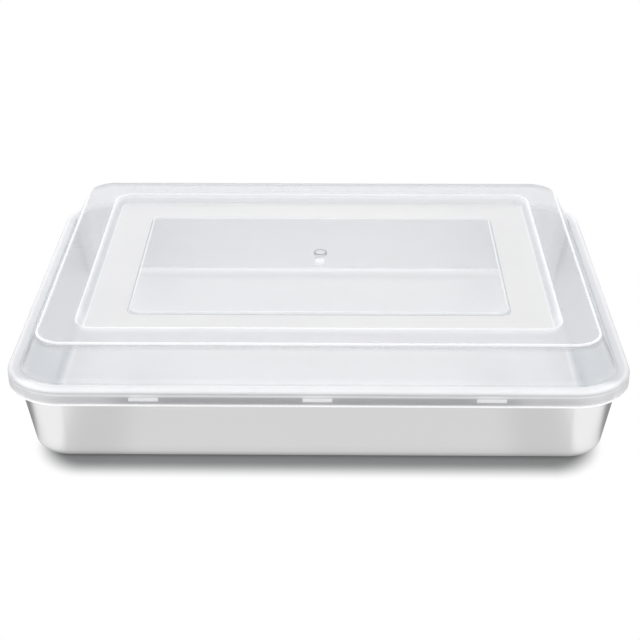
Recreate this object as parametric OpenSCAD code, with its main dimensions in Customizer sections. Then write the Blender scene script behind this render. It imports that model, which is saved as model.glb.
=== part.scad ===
// Rectangular cake pan of drawn steel sheet with a clear fitted lid.
// The origin is on the table under the middle of the pan, X runs along its length and Z points up.

/* [Pan] */
// Length over the rolled edge
rim_w = 316; // [240:1:420]
// Depth over the rolled edge
rim_d = 242; // [180:1:320]
// Height from the table to the top of the rolled edge
pan_h = 45; // [35:1:80]
// Outer radius of the rolled edge at the corners
rim_corner_r = 29; // [24:1:40]
// Thickness of the steel sheet
sheet_t = 0.6; // [0.4:0.1:1]
// Outside diameter of the rolled edge
bead_d = 3; // [2.4:0.1:5]
// Gap between the end of the rolled edge and the wall
curl_gap = 0.4; // [0.2:0.1:0.8]
// Lean of the walls away from upright, in degrees
wall_draft = 10; // [2:0.5:12]
// Outside radius of the bend from wall to floor
floor_bend_r = 6; // [3:0.5:12]

/* [Lid edge] */
// Wall thickness of the lid
lid_t = 1; // [0.8:0.1:1.6]
// Gap between the rolled edge and the skirt
skirt_gap = 1; // [0.8:0.1:2]
// Gap between the top of the rolled edge and the flange
seat_gap = 0.3; // [0.2:0.1:1]
// How far the skirt reaches below the rolled edge
skirt_below = 3.9; // [1.5:0.1:6]
// Radius of the outer edge of the flange
flange_edge_r = 1.6; // [1.3:0.1:3]
// Width of the flange from the outer edge to the dome
flange_w = 6.4; // [5:0.1:10]
// Radius at the foot of the dome
dome_foot_r = 1.2; // [0.4:0.1:3]

/* [Lid dome] */
// Rise of the dome above the flange
dome_h = 19.1; // [12:0.1:40]
// How far the dome wall leans inwards
dome_run = 9.6; // [2:0.1:12]
// Radius of the upper edge of the dome
dome_edge_r = 2; // [1.3:0.1:4]
// Width of the clear band on top of the dome
band_w = 18; // [8:0.5:30]
// Depth of the recess below the clear band
recess_h = 5.6; // [3:0.1:10]
// How far the wall of the recess leans inwards
recess_run = 3.5; // [1:0.1:6]
// Corner radius of the recess along its upper edge
recess_corner_r = 9.5; // [8:0.5:20]
// Width of the frosted band on the floor of the recess
frost_w = 20.7; // [10:0.1:35]
// Rise of the middle panel above the frosted band
panel_h = 1.4; // [0.8:0.1:3]
// How far the edge of the middle panel leans inwards
panel_run = 1.3; // [0.6:0.1:3]
// Corner radius of the middle panel along its upper edge
panel_corner_r = 4.5; // [3.5:0.5:20]
// Radius of the small edges round the recess and the panel
step_edge_r = 1.4; // [0.6:0.1:2]

/* [Snap ridges] */
// Number of snap ridges on each long side
ridge_count = 3; // [1:1:3]
// Length of one snap ridge
ridge_w = 15; // [8:1:25]
// Distance between the middles of neighbouring ridges
ridge_pitch = 87; // [40:1:100]
// Room that a ridge leaves beside the rolled edge
ridge_clear = 0.3; // [0.2:0.1:0.6]
// Depth of the nose of a ridge below the middle of the rolled edge
ridge_drop = 1.8; // [1.2:0.1:2.2]
// Height of a ridge above its nose
ridge_rise = 1.3; // [0.6:0.1:1.6]
// Height of a ridge below its nose
ridge_lead = 0.8; // [0.6:0.1:1.4]

/* [Moulding marks] */
// Diameter of the gate mark in the middle of the lid
gate_d = 5.5; // [3:0.1:12]
// Outside diameter of the plain ring behind the gate mark
ring_d = 7; // [4:0.1:12]
// Width of the raised line of the ring
ring_line = 0.9; // [0.4:0.1:1.5]
// Distance from the gate mark to the ring
ring_offset = 12; // [9:0.5:30]
// Height of the marks above the panel
mark_h = 0.3; // [0.2:0.1:0.6]

/* [Hidden] */
$fn = 64;

// Largest turn between two points of an arc, in degrees
arc_step = 7.5;
// Overlap that joins the parts of one moulding
join = 0.4;
// Flat strip outside an edge that is swept on its own corners
land = 2.5;

// The pan's section lies in the X and Z of its corner, measured from the corner's middle.
core = [rim_w / 2 - rim_corner_r, rim_d / 2 - rim_corner_r];
bead_r = bead_d / 2;
bead_mid = [rim_corner_r - bead_r, pan_h - bead_r];
wall_out = [cos(wall_draft), -sin(wall_draft)];
curl_turn = 360 - acos((bead_r - sheet_t - curl_gap) / bead_r);

// Where the outer face of the wall would meet the table, and the bend that fits in front of it
wall_foot = bead_mid.x - (bead_r - sheet_t) / wall_out.x - bead_mid.y * tan(wall_draft);
bend_limit = wall_foot / (1 / cos(wall_draft) - tan(wall_draft));
bend_r = min(floor_bend_r, 0.95 * bend_limit);
bend_mid = [wall_foot + bend_r * (tan(wall_draft) - 1 / cos(wall_draft)), bend_r];

// The lid follows the pan's rim, because it is swept round the same corners.
lid_corner_r = rim_corner_r + skirt_gap + lid_t;
flange_z = pan_h + seat_gap + lid_t;
skirt_z = pan_h - bead_d - skirt_below;
dome_r = lid_corner_r - flange_w - dome_run;
dome_z = flange_z + dome_h;
recess_z = dome_z - recess_h;
panel_z = recess_z + panel_h;

// Half lengths and half depths of the edges on top of the lid
dome_half = core + [dome_r, dome_r];
recess_half = dome_half - [band_w, band_w];
recess_core = recess_half - [recess_corner_r, recess_corner_r];
panel_inset = recess_run + frost_w + panel_run;
panel_half = recess_half - [panel_inset, panel_inset];
panel_core = panel_half - [panel_corner_r, panel_corner_r];

ridge_x = lid_corner_r - lid_t;
ridge_depth = skirt_gap - ridge_clear;
ridge_z = bead_mid.y - ridge_drop;

function reversed(list) = [for (i = [len(list) - 1:-1:0]) list[i]];
function turned(v, a) = [v.x * cos(a) - v.y * sin(a), v.x * sin(a) + v.y * cos(a)];
function leftward(v) = [-v.y, v.x] / norm(v);

// Points along an arc round mid, from angle a0 to a1
function arc(mid, r, a0, a1) =
    let (n = ceil(abs(a1 - a0) / arc_step))
    [for (i = [0:n]) mid + turned([r, 0], a0 + (a1 - a0) * i / n)];

// How far the direction turns at b, anticlockwise, on the way from a to c
function turn_at(a, b, c) = let (u = b - a, v = c - b) atan2(cross(u, v), u * v);

// The corner at b, rounded with radius r
function rounded_corner(a, b, c, r) =
    let (turn = turn_at(a, b, c), side = sign(turn), back = (a - b) / norm(a - b))
    let (start = b + back * r * tan(abs(turn) / 2), arm = side * r * leftward(b - a))
    let (n = max(1, ceil(abs(turn) / arc_step)))
    r > 0 ? [for (i = [0:n]) start + arm - turned(arm, turn * i / n)] : [b];

// A path whose inner corners are rounded, with one radius for each point
function rounded_path(points, radii) =
    let (last = len(points) - 1)
    [
        points[0],
        for (i = [1:last - 1], p = rounded_corner(points[i - 1], points[i], points[i + 1], radii[i])) p,
        points[last]
    ];

// The point where the path shifted to the left by d turns its corner
function mitre(a, b, c, d) =
    let (m = leftward(b - a), n = leftward(c - b))
    b + d * (m + n) / (1 + m * n);

// Outline of a wall of thickness t that lies to the left of a rounded path
function wall_outline(points, radii, t) =
    let (last = len(points) - 1)
    let (shifted = [
        points[0] + t * leftward(points[1] - points[0]),
        for (i = [1:last - 1]) mitre(points[i - 1], points[i], points[i + 1], t),
        points[last] + t * leftward(points[last] - points[last - 1])
    ])
    let (inner_radii = [
        for (i = [0:last])
            i == 0 || i == last ? 0
            : max(0, radii[i] - t * sign(turn_at(points[i - 1], points[i], points[i + 1])))
    ])
    concat(rounded_path(points, radii), reversed(rounded_path(shifted, inner_radii)));

// Sweeps a section round a rectangle: half is half its size, and the corners turn about its corners
module frame_sweep(half) {
    for (side = [0:3]) {
        reach = side % 2 == 0 ? half : [half.y, half.x];
        rotate([0, 0, 90 * side]) {
            translate([reach.x, 0, 0])
                rotate([90, 0, 0])
                    linear_extrude(height = 2 * reach.y, center = true)
                        children();
            translate([reach.x, reach.y, 0])
                rotate_extrude(angle = 90)
                    children();
        }
    }
}

// Flat sheet that fills the middle of a swept frame
module middle_sheet(half, top, t) {
    translate([-half.x, -half.y, top - t])
        cube([2 * half.x, 2 * half.y, t]);
}

// Upright block with rounded corners, used as a cutter
module rounded_block(half, r, low, high) {
    translate([0, 0, low])
        linear_extrude(height = high - low)
            union() {
                square([2 * half.x, 2 * (half.y + r)], center = true);
                square([2 * (half.x + r), 2 * half.y], center = true);
                for (x = [-1, 1], y = [-1, 1])
                    translate([x * half.x, y * half.y])
                        circle(r);
            }
}

// One bent sheet: floor, bend, leaning wall and the edge rolled outwards over itself
module pan_section() {
    lean = 180 - wall_draft;
    polygon(concat(
        [[0, sheet_t]],
        arc(bend_mid, bend_r - sheet_t, -90, -wall_draft),
        arc(bead_mid, bead_r, lean, lean - curl_turn),
        arc(bead_mid, bead_r - sheet_t, lean - curl_turn, lean),
        arc(bend_mid, bend_r, -wall_draft, -90),
        [[0, 0]]
    ));
}

// Skirt, flange, dome wall and the outer part of the clear band
module lid_edge_section() {
    polygon(wall_outline(
        [
            [lid_corner_r, skirt_z],
            [lid_corner_r, flange_z],
            [lid_corner_r - flange_w, flange_z],
            [dome_r, dome_z],
            [0, dome_z]
        ],
        [0, flange_edge_r, dome_foot_r, dome_edge_r, 0],
        lid_t
    ));
}

// Step from the clear band down to the frosted band
module recess_section() {
    polygon(wall_outline(
        [
            [recess_corner_r + land, dome_z],
            [recess_corner_r, dome_z],
            [recess_corner_r - recess_run, recess_z],
            [0, recess_z]
        ],
        [0, step_edge_r, step_edge_r, 0],
        lid_t
    ));
}

// Step from the frosted band up to the middle panel
module panel_section() {
    polygon(wall_outline(
        [
            [panel_corner_r + panel_run + land, recess_z],
            [panel_corner_r + panel_run, recess_z],
            [panel_corner_r, panel_z],
            [0, panel_z]
        ],
        [0, step_edge_r / 2, step_edge_r / 2, 0],
        lid_t
    ));
}

// Ridge inside the skirt that snaps under the rolled edge
module snap_ridge() {
    rotate([90, 0, 90])
        linear_extrude(height = ridge_w, center = true)
            polygon([
                [ridge_x + join, ridge_z + ridge_rise],
                [ridge_x, ridge_z + ridge_rise],
                [ridge_x - ridge_depth, ridge_z],
                [ridge_x, ridge_z - ridge_lead],
                [ridge_x + join, ridge_z - ridge_lead]
            ]);
}

// The snap ridges of both long sides
module snap_ridges() {
    first = -(ridge_count - 1) / 2;
    for (turn = [0, 180], i = [0:ridge_count - 1])
        rotate([0, 0, turn])
            translate([(first + i) * ridge_pitch, core.y, 0])
                snap_ridge();
}

// Gate mark in the middle of the panel and a plain ring behind it
module moulding_marks() {
    low = panel_z - join;
    translate([0, 0, low])
        cylinder(d = gate_d, h = join + mark_h);
    translate([0, ring_offset, low])
        difference() {
            cylinder(d = ring_d, h = join + mark_h);
            translate([0, 0, join])
                cylinder(d = ring_d - 2 * ring_line, h = mark_h + join);
        }
}

module pan() {
    color([0.80, 0.80, 0.80]) {
        frame_sweep(core) pan_section();
        middle_sheet(core, sheet_t, sheet_t);
    }
}

module lid() {
    color([0.93, 0.93, 0.96, 0.6]) {
        difference() {
            union() {
                frame_sweep(core) lid_edge_section();
                middle_sheet(core, dome_z, lid_t);
            }
            rounded_block(recess_core, recess_corner_r + land, dome_z - lid_t - join, dome_z + join);
        }
        difference() {
            union() {
                frame_sweep(recess_core) recess_section();
                middle_sheet(recess_core, recess_z, lid_t);
            }
            rounded_block(panel_core, panel_corner_r + panel_run + land, recess_z - lid_t - join, recess_z + join);
        }
        frame_sweep(panel_core) panel_section();
        middle_sheet(panel_core, panel_z, lid_t);
        moulding_marks();
        snap_ridges();
    }
}

pan();
lid();
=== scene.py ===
# %% [markdown]
# # A cake pan with a clear lid
#
# The object is a rectangular cake pan of thin stainless sheet. Its rim is rolled outwards over itself,
# and a clear moulded lid fits round that rim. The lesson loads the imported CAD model, which gives the
# outer sizes and the bodies that move, and then makes the two pieces again with the fine shapes and
# finishes that a close look needs: even bends, small fillets, satin steel and milky clear plastic.
#
# Everything is in metres, and the lengths below are written in millimetres times MM.

# %% Load the frame
import math

import bmesh
import bpy
from mathutils import Matrix, Vector


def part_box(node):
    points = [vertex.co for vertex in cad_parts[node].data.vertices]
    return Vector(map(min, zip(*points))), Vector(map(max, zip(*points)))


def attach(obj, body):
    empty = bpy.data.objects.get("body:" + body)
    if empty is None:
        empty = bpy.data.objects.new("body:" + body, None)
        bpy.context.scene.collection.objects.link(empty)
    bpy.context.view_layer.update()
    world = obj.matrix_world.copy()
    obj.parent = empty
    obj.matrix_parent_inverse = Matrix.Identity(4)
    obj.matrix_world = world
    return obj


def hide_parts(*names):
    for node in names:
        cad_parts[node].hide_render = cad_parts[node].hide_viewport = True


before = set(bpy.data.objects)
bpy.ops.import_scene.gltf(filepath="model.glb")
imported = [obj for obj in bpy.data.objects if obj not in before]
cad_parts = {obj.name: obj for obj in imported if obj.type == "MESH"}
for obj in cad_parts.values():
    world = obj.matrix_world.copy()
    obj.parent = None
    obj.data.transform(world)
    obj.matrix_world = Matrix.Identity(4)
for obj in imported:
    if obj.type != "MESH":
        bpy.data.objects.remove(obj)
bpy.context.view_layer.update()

MM = 0.001
pan_low, pan_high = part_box("pan")
lid_low, lid_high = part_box("lid")
print("pan from", pan_low, "to", pan_high)
print("lid from", lid_low, "to", lid_high)

# %% [markdown]
# ## The camera
#
# A lens only says how wide the view is, so it goes with a distance. The edges of the lid in the
# photograph fit an 84 mm lens, 0.76 m in front and 0.37 m above the flange, that looks down by 27
# degrees. The camera is built from its three directions, worked out from the angles of the fit.

# %% Camera
LENS, FILM_WIDTH = 83.84, 36
LOOK_DOWN, LOOK_LEFT, ROLL = math.radians(27.304), math.radians(0.712), math.radians(0.094)
CAMERA_ASIDE, CAMERA_IN_FRONT, CAMERA_ABOVE_FLANGE = 9.36 * MM, 764.7 * MM, 372.1 * MM
DOME_H = 19.1 * MM
flange_top = lid_high.z - DOME_H
camera_place = Vector((CAMERA_ASIDE, -CAMERA_IN_FRONT, flange_top + CAMERA_ABOVE_FLANGE))

forward = Vector((
    -math.sin(LOOK_LEFT) * math.cos(LOOK_DOWN),
    math.cos(LOOK_LEFT) * math.cos(LOOK_DOWN),
    -math.sin(LOOK_DOWN),
))
right = forward.cross(Vector((0, 0, 1))).normalized()
right = Matrix.Rotation(ROLL, 3, forward) @ right
up = right.cross(forward)

camera_data = bpy.data.cameras.new("camera")
camera_data.lens = LENS
camera_data.sensor_width = FILM_WIDTH
camera_data.clip_start = 10 * MM
camera = bpy.data.objects.new("camera", camera_data)
bpy.context.scene.collection.objects.link(camera)
turned = Matrix((right, up, -forward)).transposed().to_4x4()
camera.matrix_world = Matrix.Translation(camera_place) @ turned
bpy.context.scene.camera = camera
print("camera at", camera_place, "looking along", forward)

# %% [markdown]
# ## Sweeping a section round a rectangle
#
# Both pieces are the same kind of shape: one section that runs round a rectangle with round corners.
# A press tool or a mould for them is milled along the same path. So the section is drawn once as a
# wire, its bends are cut by a vertex bevel, and the wire is spun by a quarter turn round the corner.
# The two ends of the turn are extruded to the middles of the straight sides, and two mirrors give the
# other three quarters.

# %% Section wire
ARC_STEP = 7.5


def section_wire(bm, points, radii):
    """A wire through points (distance from the corner's middle, height), with its bends rounded."""
    verts = [bm.verts.new((x, 0, z)) for x, z in points]
    for a, b in zip(verts, verts[1:]):
        bm.edges.new((a, b))
    for here, radius in zip(range(1, len(points) - 1), radii):
        before = (Vector(points[here]) - Vector(points[here - 1])).normalized()
        after = (Vector(points[here + 1]) - Vector(points[here])).normalized()
        turn = before.angle(after)
        bmesh.ops.bevel(
            bm, geom=[verts[here]], affect="VERTICES", offset=radius * math.tan(turn / 2),
            segments=max(2, math.ceil(math.degrees(turn) / ARC_STEP)), profile=0.5, material=-1,
        )


print("bends are cut into steps of", ARC_STEP, "degrees")

# %% Sweep
CORNER_STEPS = 20
MERGE = 0.001 * MM


def sweep(bm, half):
    """Sweeps the section in bm round a rectangle whose corners turn about (half.x, half.y)."""
    section = bm.verts[:] + bm.edges[:]
    bmesh.ops.translate(bm, verts=bm.verts[:], vec=(half.x, half.y, 0))
    start = bm.edges[:]
    spun = bmesh.ops.spin(
        bm, geom=section, cent=(half.x, half.y, 0), axis=(0, 0, 1), angle=math.pi / 2,
        steps=CORNER_STEPS, use_merge=False, use_duplicate=False,
    )
    end = [g for g in spun["geom_last"] if isinstance(g, bmesh.types.BMEdge)]
    for edges, step in ((start, (0, -half.y, 0)), (end, (-half.x, 0, 0))):
        side = bmesh.ops.extrude_edge_only(bm, edges=edges)["geom"]
        moved = [g for g in side if isinstance(g, bmesh.types.BMVert)]
        bmesh.ops.translate(bm, verts=moved, vec=step)
    bmesh.ops.remove_doubles(bm, verts=bm.verts[:], dist=MERGE / 10)
    for axis in ("X", "Y"):
        bmesh.ops.mirror(bm, geom=bm.verts[:] + bm.edges[:] + bm.faces[:], axis=axis, merge_dist=MERGE)
    bmesh.ops.remove_doubles(bm, verts=bm.verts[:], dist=MERGE)
    bmesh.ops.recalc_face_normals(bm, faces=bm.faces[:])


print("each corner turns in", CORNER_STEPS, "steps")


# %% Open edges
def lowest(loop):
    """The height of a loop's lowest point."""
    return min(v.co.z for e in loop for v in e.verts)


def reach(loop):
    """How far out a loop runs along X."""
    return max(v.co.x for e in loop for v in e.verts)


def open_loops(bm):
    """The open edges of bm, as loops, lowest first."""
    left = {e for e in bm.edges if e.is_boundary}
    loops = []
    while left:
        loop, todo = [], [left.pop()]
        while todo:
            edge = todo.pop()
            loop.append(edge)
            near = {e for v in edge.verts for e in v.link_edges if e in left}
            left -= near
            todo += near
        loops.append(loop)
    return sorted(loops, key=lowest)


# %% [markdown]
# ## The pan
#
# A press draws the pan from one flat sheet of stainless steel: floor, leaning walls, and a rim that is
# curled outwards until its edge meets the wall. One wire follows the side that food touches, from the
# floor up the wall and round the curl, and Solidify gives the sheet its even 0.6 mm on the other side.

# %% Pan sizes
SHEET = 0.6 * MM
BEAD_R = 1.5 * MM
CURL_GAP = 0.4 * MM
DRAFT = math.radians(10)
BEND_R = 6 * MM
RIM_CORNER_R = 29 * MM
core = Vector((pan_high.x - RIM_CORNER_R, pan_high.y - RIM_CORNER_R))
bead_mid = Vector((RIM_CORNER_R - BEAD_R, pan_high.z - BEAD_R))
print("corners turn about", core, "and the rim rolls round", bead_mid)

# %% Pan section
CURL_STEPS = 28
wall_top = bead_mid + BEAD_R * Vector((-math.cos(DRAFT), math.sin(DRAFT)))
wall_foot = wall_top.x - (wall_top.y - SHEET) * math.tan(DRAFT)
curl_turn = math.radians(360) - math.acos((BEAD_R - SHEET - CURL_GAP) / BEAD_R)

pan_mesh = bmesh.new()
section_wire(pan_mesh, [(0, SHEET), (wall_foot, SHEET), tuple(wall_top)], [BEND_R - SHEET])
rim_start = max(pan_mesh.verts, key=lambda v: v.co.z)
bmesh.ops.spin(
    pan_mesh, geom=[rim_start], cent=(bead_mid.x, 0, bead_mid.y), axis=(0, 1, 0), angle=curl_turn,
    steps=CURL_STEPS, use_merge=False, use_duplicate=False,
)
print("pan section has", len(pan_mesh.verts), "points, highest", max(v.co.z for v in pan_mesh.verts))

# %% Pan sheet
sweep(pan_mesh, core)
floor_hole = open_loops(pan_mesh)[0]
bmesh.ops.holes_fill(pan_mesh, edges=floor_hole, sides=0)
bmesh.ops.recalc_face_normals(pan_mesh, faces=pan_mesh.faces[:])
print("pan sheet has", len(pan_mesh.faces), "faces")


# %% Finished pieces
def finish_piece(name, bm, thickness):
    """Turns bm into an object, thickens it away from its upper face and smooths its shading."""
    middle = min(bm.faces, key=lambda f: f.calc_center_median().xy.length)
    if middle.normal.z < 0:
        bmesh.ops.reverse_faces(bm, faces=bm.faces[:])
    mesh = bpy.data.meshes.new(name)
    bm.to_mesh(mesh)
    bm.free()
    piece = bpy.data.objects.new(name, mesh)
    bpy.context.scene.collection.objects.link(piece)
    for face in mesh.polygons:
        face.use_smooth = True
    solid = piece.modifiers.new("wall", "SOLIDIFY")
    solid.thickness = thickness
    solid.offset = -1
    solid.use_even_offset = True
    return piece


def keep_flat(piece):
    """Lets the large flat faces rule the shading, so that only the bends look round."""
    smooth = piece.modifiers.new("flat faces stay flat", "WEIGHTED_NORMAL")
    smooth.keep_sharp = True


pan_sheet = finish_piece("pan_sheet", pan_mesh, SHEET)
keep_flat(pan_sheet)
print("the sheet is", SHEET, "thick")

# %% [markdown]
# ## The lid
#
# The lid is one thin moulding. From outside in it has a skirt round the rim, a flat flange that sits on
# the rim, a dome wall, a clear band, a step down to a frosted band and a small step up to the clear
# middle panel. Three sweeps make the three steps, and because each has the same number of points in
# its loops, bridging the loops makes the flat bands between them.

# %% Lid sizes
LID_T, SKIRT_GAP = 1 * MM, 1 * MM
FLANGE_W, FLANGE_EDGE_R, DOME_FOOT_R = 6.4 * MM, 1.6 * MM, 1.2 * MM
DOME_RUN, DOME_EDGE_R, BAND_W = 9.6 * MM, 2 * MM, 18 * MM
RECESS_H, RECESS_RUN, RECESS_CORNER_R = 5.6 * MM, 3.5 * MM, 9.5 * MM
FROST_W, PANEL_H, PANEL_RUN, PANEL_CORNER_R = 20.7 * MM, 1.4 * MM, 1.3 * MM, 4.5 * MM
STEP_EDGE_R, LAND = 1.4 * MM, 2.5 * MM

dome_z = lid_high.z
recess_z = dome_z - RECESS_H
panel_z = recess_z + PANEL_H
lid_corner_r = RIM_CORNER_R + SKIRT_GAP + LID_T
dome_r = lid_corner_r - FLANGE_W - DOME_RUN
lid_half = core + Vector((lid_corner_r, lid_corner_r))
dome_half = core + Vector((dome_r, dome_r))
recess_half = dome_half - Vector((BAND_W, BAND_W))
recess_core = recess_half - Vector((RECESS_CORNER_R, RECESS_CORNER_R))
panel_inset = RECESS_RUN + FROST_W + PANEL_RUN
panel_half = recess_half - Vector((panel_inset, panel_inset))
panel_core = panel_half - Vector((PANEL_CORNER_R, PANEL_CORNER_R))
print("dome", dome_half, "recess", recess_half, "panel", panel_half)

# %% Three sweeps
DOME_LAND = 2.5 * DOME_EDGE_R
recess_foot_r = RECESS_CORNER_R - RECESS_RUN
panel_foot_r = PANEL_CORNER_R + PANEL_RUN
steps = [
    (core,
     [(lid_corner_r, lid_low.z), (lid_corner_r, flange_top), (lid_corner_r - FLANGE_W, flange_top),
      (dome_r, dome_z), (dome_r - DOME_LAND, dome_z)],
     [FLANGE_EDGE_R, DOME_FOOT_R, DOME_EDGE_R]),
    (recess_core,
     [(RECESS_CORNER_R + LAND, dome_z), (RECESS_CORNER_R, dome_z),
      (recess_foot_r, recess_z), (recess_foot_r - LAND, recess_z)],
     [STEP_EDGE_R, STEP_EDGE_R]),
    (panel_core,
     [(panel_foot_r + LAND, recess_z), (panel_foot_r, recess_z),
      (PANEL_CORNER_R, panel_z), (PANEL_CORNER_R - LAND, panel_z)],
     [STEP_EDGE_R / 2, STEP_EDGE_R / 2]),
]
lid_mesh = bmesh.new()
for half, points, radii in steps:
    step_mesh = bmesh.new()
    section_wire(step_mesh, points, radii)
    sweep(step_mesh, half)
    step_data = bpy.data.meshes.new("step")
    step_mesh.to_mesh(step_data)
    step_mesh.free()
    lid_mesh.from_mesh(step_data)
    bpy.data.meshes.remove(step_data)
print("three sweeps have", len(lid_mesh.faces), "faces and", len(open_loops(lid_mesh)), "open loops")

# %% Bridges between the sweeps
skirt_edge, dome_inner, recess_outer, recess_inner, panel_outer, panel_hole = sorted(
    open_loops(lid_mesh), key=reach, reverse=True)
bmesh.ops.bridge_loops(lid_mesh, edges=dome_inner + recess_outer)
bmesh.ops.bridge_loops(lid_mesh, edges=recess_inner + panel_outer)
bmesh.ops.holes_fill(lid_mesh, edges=panel_hole, sides=0)
bmesh.ops.recalc_face_normals(lid_mesh, faces=lid_mesh.faces[:])
print("lid sheet has", len(lid_mesh.faces), "faces and", len(open_loops(lid_mesh)), "open loop,",
      "with", len(skirt_edge), "edges round the skirt")

lid_shell = finish_piece("lid_shell", lid_mesh, LID_T)

# %% [markdown]
# ## Snap ridges and moulding marks
#
# Inside the skirt, short ridges catch below the rolled rim. The middle of the panel carries the round
# mark where the plastic entered the mould, with a plain ring behind it. They are small solids that
# melt into the wall, so each is made on its own and joined to the lid by a Boolean.

# %% Ridges
RIDGE_W, RIDGE_PITCH, RIDGE_CLEAR = 15 * MM, 87 * MM, 0.3 * MM
RIDGE_DROP, RIDGE_RISE, RIDGE_LEAD, JOIN = 1.8 * MM, 1.3 * MM, 0.8 * MM, 0.4 * MM
ridge_y = lid_half.y - LID_T
ridge_depth = SKIRT_GAP - RIDGE_CLEAR
ridge_z = bead_mid.y - RIDGE_DROP
ridge_section = [
    (ridge_y + JOIN, ridge_z + RIDGE_RISE), (ridge_y, ridge_z + RIDGE_RISE),
    (ridge_y - ridge_depth, ridge_z), (ridge_y, ridge_z - RIDGE_LEAD),
    (ridge_y + JOIN, ridge_z - RIDGE_LEAD),
]

extras = bmesh.new()
for side in (-1, 1):
    for middle in (-RIDGE_PITCH, 0, RIDGE_PITCH):
        start = middle - RIDGE_W / 2
        end = extras.faces.new([extras.verts.new((start, side * y, z)) for y, z in ridge_section])
        body = bmesh.ops.extrude_face_region(extras, geom=[end])["geom"]
        moved = [g for g in body if isinstance(g, bmesh.types.BMVert)]
        bmesh.ops.translate(extras, verts=moved, vec=(RIDGE_W, 0, 0))
print("six ridges", ridge_depth, "deep at height", ridge_z)

# %% Marks
GATE_D, RING_D, RING_LINE, RING_OFFSET, MARK_H = 5.5 * MM, 7 * MM, 0.9 * MM, 12 * MM, 0.3 * MM
RING_DEPTH = 0.9 * MARK_H


def round_mark(bm, radius, y):
    """A low disc that stands on the panel. It returns the disc's top face."""
    made = bmesh.ops.create_circle(bm, cap_ends=True, radius=radius, segments=48,
                                   matrix=Matrix.Translation((0, y, panel_z - JOIN)))
    face = made["verts"][0].link_faces[0]
    top = bmesh.ops.extrude_face_region(bm, geom=[face])["geom"]
    moved = [g for g in top if isinstance(g, bmesh.types.BMVert)]
    bmesh.ops.translate(bm, verts=moved, vec=(0, 0, JOIN + MARK_H))
    return [g for g in top if isinstance(g, bmesh.types.BMFace)][0]


round_mark(extras, GATE_D / 2, 0)
ring_top = round_mark(extras, RING_D / 2, RING_OFFSET)
bmesh.ops.inset_individual(extras, faces=[ring_top], thickness=RING_LINE, depth=0)
bmesh.ops.translate(extras, verts=ring_top.verts[:], vec=(0, 0, -RING_DEPTH))
bmesh.ops.recalc_face_normals(extras, faces=extras.faces[:])
print("ridges and marks have", len(extras.faces), "faces")

# %% Join them to the lid
extras_data = bpy.data.meshes.new("ridges_and_marks")
extras.to_mesh(extras_data)
extras.free()
extras_piece = bpy.data.objects.new("ridges_and_marks", extras_data)
bpy.context.scene.collection.objects.link(extras_piece)
joined = lid_shell.modifiers.new("ridges and marks", "BOOLEAN")
joined.operation = "UNION"
joined.solver = "EXACT"
joined.object = extras_piece
bpy.context.view_layer.update()
with_extras = lid_shell.evaluated_get(bpy.context.evaluated_depsgraph_get())
shell_data = bpy.data.meshes.new_from_object(with_extras)
lid_shell.modifiers.clear()
lid_shell.data = shell_data
bpy.data.objects.remove(extras_piece)
keep_flat(lid_shell)
print("lid has", len(shell_data.polygons), "faces")

# %% [markdown]
# ## Shader maths as Python
#
# A finish is a small sum over the surface: how far a point lies from an edge, how much haze there is.
# The class below wraps a node's socket, so that such a sum is written as an ordinary expression and
# each operator adds its Math node. Any other node comes from one function, which sets the node's own
# settings first and its inputs second.


# %% Nodes
def add_node(tree, kind, settings=None, inputs=None):
    """Adds a node: its settings come first, then the values or links of its inputs."""
    new = tree.nodes.new(kind)
    for name, value in (settings or {}).items():
        setattr(new, name, value)
    for name, value in (inputs or {}).items():
        if isinstance(value, Socket):
            tree.links.new(value.out, new.inputs[name])
        else:
            new.inputs[name].default_value = value
    return new


def output_of(node, name=0):
    """One output of a node, ready for sums."""
    return Socket(node.outputs[name])


# %% Socket class
class Socket:
    """A node's output that can be used in sums."""

    def __init__(self, out):
        self.out = out
        self.tree = out.id_data

    def math(self, operation, *others):
        """A Math node on this value and the others."""
        return output_of(add_node(self.tree, "ShaderNodeMath", {"operation": operation},
                                  dict(enumerate((self, *others)))))

    def __add__(self, other):
        return self.math("ADD", other)

    def __radd__(self, other):
        return self.math("ADD", other)

    def __sub__(self, other):
        return self.math("SUBTRACT", other)

    def __rsub__(self, other):
        return (self * -1).math("ADD", other)

    def __mul__(self, other):
        return self.math("MULTIPLY", other)

    def __rmul__(self, other):
        return self.math("MULTIPLY", other)

    def __abs__(self):
        return self.math("ABSOLUTE")

    def between(self, low, high):
        """0 at low, 1 at high, and smooth between them."""
        return output_of(add_node(self.tree, "ShaderNodeMapRange", {"interpolation_type": "SMOOTHSTEP"},
                                  {"Value": self, "From Min": low, "From Max": high}))

    def line(self, middle, width, soft):
        """1 within width of middle, and 0 outside it."""
        return 1 - abs(self - middle).between(width / 2 - soft / 2, width / 2 + soft / 2)

    def split(self):
        """The X, Y and Z of a vector."""
        parts = add_node(self.tree, "ShaderNodeSeparateXYZ", None, {0: self})
        return [output_of(parts, name) for name in "XYZ"]


# %% Colours, shaders and empty materials
def colour_mix(share, first, second):
    """The first colour, which passes into the second with share."""
    # A Mix node also has inputs for numbers and vectors, so its colours are inputs 6 and 7 and output 2.
    return output_of(add_node(share.tree, "ShaderNodeMix", {"data_type": "RGBA"},
                              {0: share, 6: first, 7: second}), 2)


def shader_mix(share, first, second):
    """The first shader, which passes into the second with share."""
    return add_node(share.tree, "ShaderNodeMixShader", None,
                    {0: share, 1: output_of(first), 2: output_of(second)})


def new_material(name):
    """An empty material with its output node, the place on the piece, and its X, Y and Z."""
    material = bpy.data.materials.new(name)
    material.use_nodes = True
    tree = material.node_tree
    tree.nodes.clear()
    output = add_node(tree, "ShaderNodeOutputMaterial")
    place = output_of(add_node(tree, "ShaderNodeTexCoord"), "Object")
    return material, tree, output, place, place.split()


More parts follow.
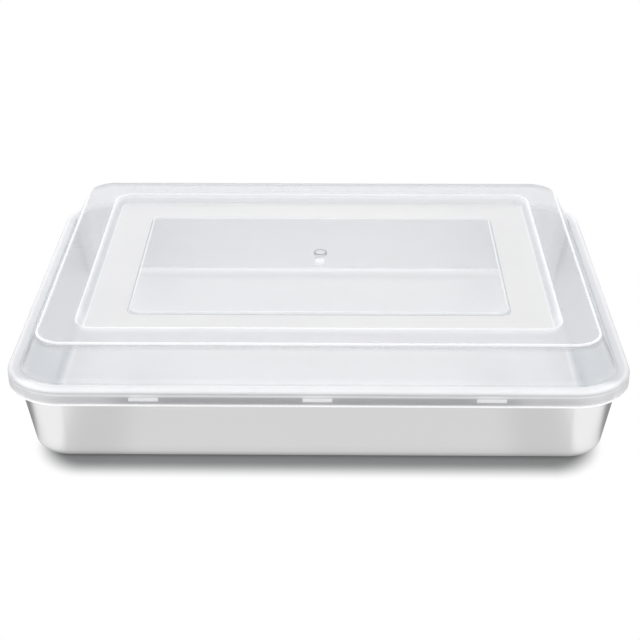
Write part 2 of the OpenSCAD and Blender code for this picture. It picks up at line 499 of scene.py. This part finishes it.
def dress(piece, material, output, shader):
    """Gives the shader to the material and the material to the piece."""
    material.node_tree.links.new(shader.outputs[0], output.inputs["Surface"])
    piece.data.materials.append(material)
    print(piece.name, "wears", material.name, "of", len(material.node_tree.nodes), "nodes")


# %% [markdown]
# ## Satin steel
#
# Stainless bakeware has a satin face: metal with fine scratches along the sheet. The metal takes its
# look from the white studio, so its colour is a light grey, and a little lighter on the flat floor as
# painted light for its brighter reflections. The scratches are a stretched noise that drives the
# roughness and a very low bump, and a second, cloudy noise keeps the reflections from looking machined.

# %% Steel
# Painted light: faces that look up get a lighter grey, which stands in for the floor's brighter
# reflections.
STEEL_GREY, FLOOR_GREY_PAINTED_LIGHTER = (0.94, 0.94, 0.94, 1), (0.98, 0.98, 0.98, 1)
STEEL_ROUGHNESS, FLOOR_ROUGHER, GRAIN_ROUGHER, CLOUD_ROUGHER = 0.2, 0.05, 0.04, 0.05
GRAIN_SCALE, CLOUD_SCALE = (14, 900, 900), 22.0
GRAIN_STRENGTH, GRAIN_HEIGHT = 0.03, 0.2 * MM

steel, tree, output, place, (x, y, z) = new_material("satin_steel")
stretched = output_of(add_node(tree, "ShaderNodeMapping", None, {"Vector": place, "Scale": GRAIN_SCALE}))
grain = output_of(add_node(tree, "ShaderNodeTexNoise", None, {
    "Vector": stretched, "Scale": 1.0, "Detail": 3.0}))
cloudy = output_of(add_node(tree, "ShaderNodeTexNoise", None, {
    "Vector": place, "Scale": CLOUD_SCALE, "Detail": 2.0}))
upward = output_of(add_node(tree, "ShaderNodeNewGeometry"), "Normal").split()[2]
on_floor = upward.between(0.2, 0.6) * (1 - z.between(BEND_R, BEND_R + 2 * MM))
bump = add_node(tree, "ShaderNodeBump", None, {
    "Strength": GRAIN_STRENGTH, "Distance": GRAIN_HEIGHT, "Height": grain})
roughness = STEEL_ROUGHNESS + on_floor * FLOOR_ROUGHER
roughness = roughness + grain * GRAIN_ROUGHER + cloudy * CLOUD_ROUGHER
metal = add_node(tree, "ShaderNodeBsdfPrincipled", None, {
    "Base Color": colour_mix(upward.between(0.8, 1), STEEL_GREY, FLOOR_GREY_PAINTED_LIGHTER),
    "Metallic": 1.0, "Roughness": roughness, "Normal": output_of(bump),
})
dress(pan_sheet, steel, output, metal)

# %% [markdown]
# ## Milky clear plastic
#
# The lid is polypropylene: clear but slightly milky, with one band of the top frosted so that it hides
# what is under it. A thin wall bends light so little that glass is not needed. The material mixes a
# see-through shader with a pale glossy one, and the share of the pale one is the haze. The haze is low
# in the clear zones, high in the frosted band, and near full on edges with painted highlights or shade.
# Many zones also get lighter or darker tones, which are painted light and shade.
#
# Every zone is a distance: from the outline of a step, seen from above, or from a height. So the
# zones lie on the moulded shape itself and need no drawing of their own.

# %% Distance from an outline
plastic, tree, output, place, (x, y, z) = new_material("milky_clear_plastic")


def outline_distance(half, radius):
    """How far a point lies outside a rounded rectangle seen from above, in metres."""
    out_x = abs(x) - (half.x - radius)
    out_y = abs(y) - (half.y - radius)
    far_x = out_x.math("MAXIMUM", 0.0)
    far_y = out_y.math("MAXIMUM", 0.0)
    corner = (far_x * far_x + far_y * far_y).math("SQRT")
    return corner + out_x.math("MAXIMUM", out_y).math("MINIMUM", 0.0) - radius


from_side = outline_distance(lid_half, lid_corner_r)
from_dome = outline_distance(dome_half, dome_r)
from_recess = outline_distance(recess_half, RECESS_CORNER_R)
from_panel = outline_distance(panel_half, PANEL_CORNER_R)
print("four outlines take", len(tree.nodes), "nodes")

# %% Zones of the lid
SOFT = 0.3 * MM

frosted = from_panel.between(PANEL_RUN - SOFT, PANEL_RUN + SOFT) * (
    1 - from_recess.between(-RECESS_RUN - SOFT, -RECESS_RUN + SOFT))
band = from_recess.between(-RECESS_RUN, 0) * (
    z.between(flange_top + 1 * MM, flange_top + 4 * MM) * 0.15
    + z.between(dome_z - 4 * MM, dome_z - 1 * MM) * 0.85)
step_wall = from_recess.line(-RECESS_RUN / 2, RECESS_RUN, SOFT)
flange = from_side.between(-FLANGE_W - 2 * SOFT, -FLANGE_W + 0.2 * MM)
flange = flange * (1 - z.between(flange_top + 0.2 * MM, flange_top + 2.5 * MM))
lip = from_side.between(-3.2 * MM, -2 * MM)
turned_up = z.between(flange_top - 1.0 * MM, flange_top - 0.7 * MM)
under_lip = z.line(flange_top - 2.3 * MM, 0.9 * MM, 0.4 * MM)
skirt = 1 - z.between(flange_top - 3.3 * MM, flange_top - 2.8 * MM)
skirt_end = 1 - z.between(lid_low.z + 0.8 * MM, lid_low.z + 1.1 * MM)
print("frosted band", FROST_W, "wide, skirt", flange_top - lid_low.z, "high")

# %% Sides of the lid
# These sides steer where the painted light and shade below fall.
at_back = y.between(recess_half.y, dome_half.y - 2 * MM)
at_front = (0 - y).between(dome_half.y, dome_half.y + 8 * MM)
at_front_step = (0 - y).between(60 * MM, 70 * MM)
at_ends = abs(x).between(140 * MM, 150 * MM)
to_corner = abs(x).between(90 * MM, 110 * MM) * 0.6 + abs(x).between(125 * MM, 145 * MM) * 0.4
long_side = (abs(y) - core.y).between(0, 5 * MM)
print("the back begins at", recess_half.y, "and the front at", -dome_half.y)

# %% Ridges and marks in the plastic
ridge_place = abs(abs(x) - RIDGE_PITCH / 2) - RIDGE_PITCH / 2
ridge_length = 1 - abs(ridge_place).between(RIDGE_W / 2 - 0.2 * MM, RIDGE_W / 2 + 0.1 * MM)
ridge_height = z.line(ridge_z + (RIDGE_RISE - RIDGE_LEAD) / 2, RIDGE_RISE + RIDGE_LEAD, SOFT)
ridges = ridge_length * ridge_height * long_side
in_gap = skirt * (1 - skirt_end) * (1 - ridges)
ring_r = (x * x + (y - RING_OFFSET) * (y - RING_OFFSET)).math("SQRT")
gate_r = (x * x + y * y).math("SQRT")
ring_edge = ring_r.line(RING_D / 2 - 0.1 * MM, 1.1 * MM, 0.2 * MM)
in_ring = 1 - ring_r.between(RING_D / 2 - 0.8 * MM, RING_D / 2 - 0.5 * MM)
on_gate = 1 - gate_r.between(GATE_D / 2 - 0.1 * MM, GATE_D / 2 + 0.3 * MM)
# The gate mark and the ring's middle are made white and join the lit edges, which gives them a painted
# glow.
white_marks = in_ring * 0.5 + on_gate
print("ridges", RIDGE_W, "long, marks", GATE_D, "and", RING_D, "across")

# %% [markdown]
# ## Edges with painted light and shade
#
# A clear moulding shows its shape by its edges. The rim of the dome, the edges of the steps, the end of
# the skirt, the ridges and the marks get painted highlights, which look white. Edges that turn away
# from the light get painted shade and look like thin grey lines instead: the foot of the panel, the back
# of the dome, the back half of the flange's rim and the ring. The first group also has a painted glow,
# and the second has a darker tone.

# %% Lit and dim edges
dome_rim = from_dome.line(-0.3 * MM, 1.3 * MM, 0.4 * MM) * z.between(dome_z - 1.6 * MM, dome_z - 1.2 * MM)
# Painted highlight: the dome's lit rim is made fainter along the back.
dome_rim = dome_rim * (1 - at_back * 0.8)
recess_rim = from_recess.line(-0.2 * MM, 0.9 * MM, 0.4 * MM)
recess_foot = from_recess.line(-RECESS_RUN, 0.7 * MM, 0.4 * MM)
panel_rim = from_panel.line(-0.2 * MM, 0.7 * MM, 0.4 * MM)
# Painted highlights: these edges and the marks get a pale tone, near full haze and a glow further down.
lit_edges = dome_rim + skirt_end
for edge, strength in (
    (recess_rim, 0.8), (recess_foot, 0.4), (panel_rim, 0.7), (ridges, 0.87), (white_marks, 0.6),
):
    lit_edges = lit_edges + edge * strength
lit_edges = lit_edges.math("MINIMUM", 1.0)

panel_foot = from_panel.line(PANEL_RUN, 0.9 * MM, 0.5 * MM)
panel_foot = panel_foot * (1 - y.between(panel_half.y - 1 * MM, panel_half.y))
back_rim = from_dome.line(0.2 * MM, 1.2 * MM, SOFT) * y.between(80 * MM, 90 * MM)
back_rim = back_rim * z.between(dome_z - 2.2 * MM, dome_z - 1.8 * MM)
side_rim = from_side.line(-0.2 * MM, 0.9 * MM, 0.4 * MM) * y.between(20 * MM, 70 * MM) * turned_up
# Painted shade: these edges get a dark tone and let less light through.
dim_edges = ring_edge
for edge, strength in ((panel_foot, 0.3), (back_rim, 0.6), (side_rim, 0.5)):
    dim_edges = dim_edges + edge * strength
dim_edges = dim_edges.math("MINIMUM", 1.0)
print("edges and zones take", len(tree.nodes), "nodes")

# %% Haze
CLEAR_HAZE, FROST_HAZE, BAND_HAZE, STEP_HAZE, FLANGE_HAZE, DIM_HAZE = 0.06, 0.6, 0.25, 0.3, 0.6, 0.55
MOST_HAZE, LIT_HAZE, BACK_HAZE = 0.75, 0.97, 0.95

haze = (CLEAR_HAZE + frosted * FROST_HAZE + band * BAND_HAZE + step_wall * STEP_HAZE
        + flange * FLANGE_HAZE + dim_edges * DIM_HAZE).math("MINIMUM", MOST_HAZE)
# The lit edges and the grey line at the back of the dome get near full haze, so their painted highlight
# and shade show.
haze = haze.math("MAXIMUM", lit_edges * LIT_HAZE).math("MAXIMUM", back_rim * BACK_HAZE)
print("haze from", CLEAR_HAZE, "in the clear zones to", LIT_HAZE, "at the lit edges")

# %% Milk
WARM_MILK, COLD_MILK = (0.9, 0.895, 0.87, 1), (0.88, 0.87, 0.87, 1)
# Painted shade on the clear band round the dome's top, and painted light on the recess's step wall.
BAND_PAINTED_SHADE, STEP_PAINTED_LIGHT = (0.68, 0.675, 0.7, 1), (0.93, 0.93, 0.94, 1)
# Painted shade on the inner flange, and painted light where it reaches the two ends.
FLANGE_PAINTED_SHADE, END_PAINTED_LIGHT = (0.68, 0.685, 0.7, 1), (0.75, 0.755, 0.77, 1)
# Painted light on the flange's outer lip and, lighter still, along the front.
LIP_PAINTED_LIGHT, FRONT_PAINTED_LIGHT = (0.94, 0.94, 0.95, 1), (0.98, 0.98, 0.98, 1)
# Painted shade in the gap behind the skirt, turning to painted light towards the corners.
GAP_PAINTED_SHADE, CORNER_PAINTED_LIGHT = (0.53, 0.535, 0.56, 1), (0.96, 0.96, 0.96, 1)
# Painted shade for the dim edges, and painted highlight for the lit ones.
DIM_EDGE_PAINTED_SHADE, LIT_EDGE_PAINTED_LIGHT = (0.3, 0.3, 0.32, 1), (0.95, 0.95, 0.96, 1)

drift = output_of(add_node(tree, "ShaderNodeTexNoise", None, {
    "Vector": place, "Scale": 9.0, "Detail": 1.0})).between(0.35, 0.65)
# The flange's tone: painted shade inside, painted light at the ends, the lip and the front.
flange_painted_light_and_shade = colour_mix(lip, colour_mix(at_ends, FLANGE_PAINTED_SHADE, END_PAINTED_LIGHT), LIP_PAINTED_LIGHT)
gap_painted_light_and_shade = colour_mix(to_corner, GAP_PAINTED_SHADE, CORNER_PAINTED_LIGHT)
# Painted shade: a dark line just under the flange's rounded edge.
lip_line = z.line(flange_top - 1.3 * MM, 0.7 * MM, SOFT)

# The plastic's own tone drifts at random between cold and warm; the zones and edges then mix their
# painted light and shade over it.
milk_and_painted_light = colour_mix(drift, COLD_MILK, WARM_MILK)
for share, tone in (
    (band, BAND_PAINTED_SHADE), (step_wall, STEP_PAINTED_LIGHT), (flange, flange_painted_light_and_shade), (flange * at_front, FRONT_PAINTED_LIGHT),
    (lip_line * 0.6, gap_painted_light_and_shade), (in_gap, gap_painted_light_and_shade), (dim_edges, DIM_EDGE_PAINTED_SHADE), (lit_edges, LIT_EDGE_PAINTED_LIGHT),
):
    milk_and_painted_light = colour_mix(share, milk_and_painted_light, tone)
print("milk is mixed in", len(tree.nodes), "nodes")

# %% Light in the edges
# Painted glow: emission on the lit edges, the step wall (more at the front), the flange's front and lip,
# and the skirt towards the corners, though the lid is no lamp.
NO_LIGHT, EDGE_LIGHT, SKIRT_END_LIGHT = (0, 0, 0, 1), (0.45, 0.45, 0.455, 1), (0.7, 0.7, 0.7, 1)
STEP_GLOW, FRONT_STEP_GLOW = 0.2, 0.35

glow = lit_edges + step_wall * (STEP_GLOW + at_front_step * FRONT_STEP_GLOW)
for zone, strength in (
    (flange * at_front * turned_up, 0.8), (flange * under_lip, 0.65), (in_gap * to_corner, 0.4),
):
    glow = glow + zone * strength
edge_light = colour_mix(glow.math("MINIMUM", 1.0), NO_LIGHT, EDGE_LIGHT)
edge_light = colour_mix(skirt_end, edge_light, SKIRT_END_LIGHT)
print("edges glow up to", SKIRT_END_LIGHT[0])

# %% Plastic shader
PLASTIC_IOR, SKIN_ROUGHNESS, MIRROR_ROUGHNESS = 1.49, 0.18, 0.06
HEAD_ON_MIRROR, GRAZING_MIRROR, GRAZING_POWER = 0.04, 0.9, 5.0
THROUGH_SHARE, DIM_THROUGH_LESS = 0.45, 0.4
PALE_PLASTIC, CLEAR_PLASTIC = (0.95, 0.95, 0.96, 1), (0.995, 0.995, 1, 1)

facing = output_of(add_node(tree, "ShaderNodeLayerWeight", None, {"Blend": 0.5}), "Facing")
mirror_share = facing.math("POWER", GRAZING_POWER) * GRAZING_MIRROR + HEAD_ON_MIRROR
gloss = add_node(tree, "ShaderNodeBsdfGlossy", None, {
    "Color": PALE_PLASTIC, "Roughness": MIRROR_ROUGHNESS})
clear = add_node(tree, "ShaderNodeBsdfTransparent", None, {"Color": CLEAR_PLASTIC})
through = add_node(tree, "ShaderNodeBsdfTranslucent", None, {"Color": PALE_PLASTIC})
# The skin carries the painted light and shade: its base colour and its emission come from the zones
# above.
skin = add_node(tree, "ShaderNodeBsdfPrincipled", None, {
    "Base Color": milk_and_painted_light, "Roughness": SKIN_ROUGHNESS, "IOR": PLASTIC_IOR,
    "Emission Color": edge_light, "Emission Strength": 1.0,
})
glazed = shader_mix(mirror_share, clear, gloss)
milky = shader_mix(THROUGH_SHARE - dim_edges * DIM_THROUGH_LESS, skin, through)
dress(lid_shell, plastic, output, shader_mix(haze, glazed, milky))

# %% [markdown]
# ## Riding on the frame
#
# The pan piece moves with the pan's body and the lid piece with the lid's body, so that the lid lifts
# off in every pose. Each stands for the CAD node of the same shape.

# %% Ride and replace
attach(pan_sheet, "pan_body")
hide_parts("pan")
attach(lid_shell, "lid_body")
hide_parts("lid")
print("the pan rides on pan_body and the lid on lid_body")

# %% [markdown]
# ## The studio floor
#
# The pan stands on a white sweep. Near the pan the floor is grey paper that takes the lamp's shadow;
# its grey is painted shade that makes the shadow darker, and where it fades to white sets how far the
# shadow reaches. Further away it turns into an even white for the camera. What steel mirrors is mostly
# this floor, so the floor is a little greyer in reflections than to the eye, and greyer still beside the
# two ends, as painted reflections of the dark stands a real studio has. That gives the round corners of
# the pan their shaded bands.

# %% Floor
FLOOR_REACH = 4

floor_mesh = bmesh.new()
bmesh.ops.create_grid(floor_mesh, x_segments=2, y_segments=2, size=FLOOR_REACH)
floor_data = bpy.data.meshes.new("floor")
floor_mesh.to_mesh(floor_data)
floor_mesh.free()
floor = bpy.data.objects.new("floor", floor_data)
bpy.context.scene.collection.objects.link(floor)
print("the floor is", 2 * FLOOR_REACH, "m wide")


# %% What each ray sees
def ray_kinds(tree):
    """1 for rays that a surface mirrors, and 1 for rays that go straight from the camera."""
    rays = add_node(tree, "ShaderNodeLightPath")
    straight = output_of(rays, "Is Camera Ray").math("MAXIMUM", output_of(rays, "Is Transmission Ray"))
    return output_of(rays, "Is Glossy Ray"), straight


# %% Paper and glow
# Painted shade: the paper near the pan is grey, so the lamp's shadow on it comes out darker; the fade
# below sets how far it shows.
SHADOW_DEEPENING_GREY, WHITE = (0.475, 0.475, 0.475, 1), (1, 1, 1, 1)
PAPER_X, PAPER_Y, FADE_START, FADE_END, FADE_FASTER_X = 120 * MM, 93 * MM, 21 * MM, 38 * MM, 1.25
MIRRORED_X_MORE, MIRRORED_START_LESS, MIRRORED_END_LESS = 12 * MM, 13 * MM, 11 * MM
MIRRORED_FLOOR, CORNERS_LIGHTER, ENDS_DARKER, EDGE_DARKER = 0.71, 0.2, 0.44, 0.08

white, tree, output, place, (x, y, z) = new_material("white_floor")
mirrored, straight = ray_kinds(tree)
# Painted reflections: in reflections only, the floor is lighter near the corners, darker beside the ends
# and a little darker in a band some way in from each end.
corners = abs(x).between(130 * MM, 140 * MM) * abs(y).between(90 * MM, 100 * MM)
beside_ends = abs(x).between(130 * MM, 155 * MM) * (1 - abs(y).between(80 * MM, 115 * MM))
under_edge = abs(x).line(116 * MM, 30 * MM, 20 * MM)
in_mirror = MIRRORED_FLOOR + corners * CORNERS_LIGHTER - beside_ends * ENDS_DARKER
in_mirror = in_mirror - under_edge * EDGE_DARKER
out_x = (abs(x) - PAPER_X - mirrored * MIRRORED_X_MORE).math("MAXIMUM", 0.0) * FADE_FASTER_X
out_y = (abs(y) - PAPER_Y).math("MAXIMUM", 0.0)
away = (out_x * out_x + out_y * out_y).math("SQRT").between(
    FADE_START - mirrored * MIRRORED_START_LESS, FADE_END - mirrored * MIRRORED_END_LESS)
paper = add_node(tree, "ShaderNodeBsdfDiffuse", None, {"Color": SHADOW_DEEPENING_GREY})
even_white = add_node(tree, "ShaderNodeEmission", None, {
    "Color": WHITE, "Strength": 1 - mirrored * (1 - in_mirror)})
seen = straight.math("MAXIMUM", mirrored)
dress(floor, white, output, shader_mix(seen * away, paper, even_white))

# %% [markdown]
# ## The room
#
# The world is white to the camera and plain soft light for everything else. In reflections it is a
# room: bright above the horizon, a little darker to the sides and straight overhead, and cool near
# the ground and to the sides, which is the faint blue that bare steel shows. The Z of a direction is 0
# at the horizon and 1 straight up, so the room's zones are written as ranges of it.

# %% World
WALLS, UPPER_WALLS, SIDES_DARKER, OVERHEAD_DARKER, SOFT_LIGHT = 0.8, 0.34, 0.2, 0.26, 0.46
COOL, LOW_IS_COOL = (0.85, 0.95, 1.0, 1), 0.6

world = bpy.data.worlds.new("studio")
bpy.context.scene.world = world
world.use_nodes = True
tree = world.node_tree
tree.nodes.clear()
mirrored, straight = ray_kinds(tree)
way_x, _, way_z = output_of(add_node(tree, "ShaderNodeTexCoord"), "Generated").split()
sideways = abs(way_x).between(0.15, 0.5)
low = 1 - way_z.between(0.15, 0.42)
room = WALLS + way_z.between(0.12, 0.42) * UPPER_WALLS
room = room - sideways * (1 - way_z.between(0.4, 0.8)) * SIDES_DARKER
room = room - way_z.between(0.76, 0.95) * OVERHEAD_DARKER
cool_share = (sideways + low * LOW_IS_COOL).math("MINIMUM", 1.0) * mirrored
sky = add_node(tree, "ShaderNodeBackground", None, {
    "Color": colour_mix(cool_share, WHITE, COOL),
    "Strength": straight + mirrored * room + (1 - straight) * (1 - mirrored) * SOFT_LIGHT,
})
add_node(tree, "ShaderNodeOutputWorld", None, {"Surface": output_of(sky)})
print("the room takes", len(tree.nodes), "nodes")

# %% [markdown]
# ## The lamp
#
# One large square lamp above and behind gives the soft shadow in front of the pan. Reflections leave
# it out, because the room above already stands for every light that steel and plastic mirror.

# %% Lamp
LAMP_PLACE, LAMP_TARGET = Vector((-0.1, 0.65, 1.25)), Vector((0, 0, 0.03))
LAMP_SIZE, LAMP_POWER = 1.3, 21.5

lamp_data = bpy.data.lights.new("top_lamp", "AREA")
lamp_data.shape = "SQUARE"
lamp_data.size = LAMP_SIZE
lamp_data.energy = LAMP_POWER
lamp = bpy.data.objects.new("top_lamp", lamp_data)
bpy.context.scene.collection.objects.link(lamp)
lamp.location = LAMP_PLACE
lamp.rotation_euler = (LAMP_TARGET - LAMP_PLACE).to_track_quat("-Z", "Y").to_euler()
lamp.visible_glossy = False
print("lamp of", LAMP_POWER, "W at", LAMP_PLACE)

# %% [markdown]
# ## Colour and sizes
#
# The Standard view shows each colour as it is written.

bpy.context.scene.view_settings.view_transform = "Standard"
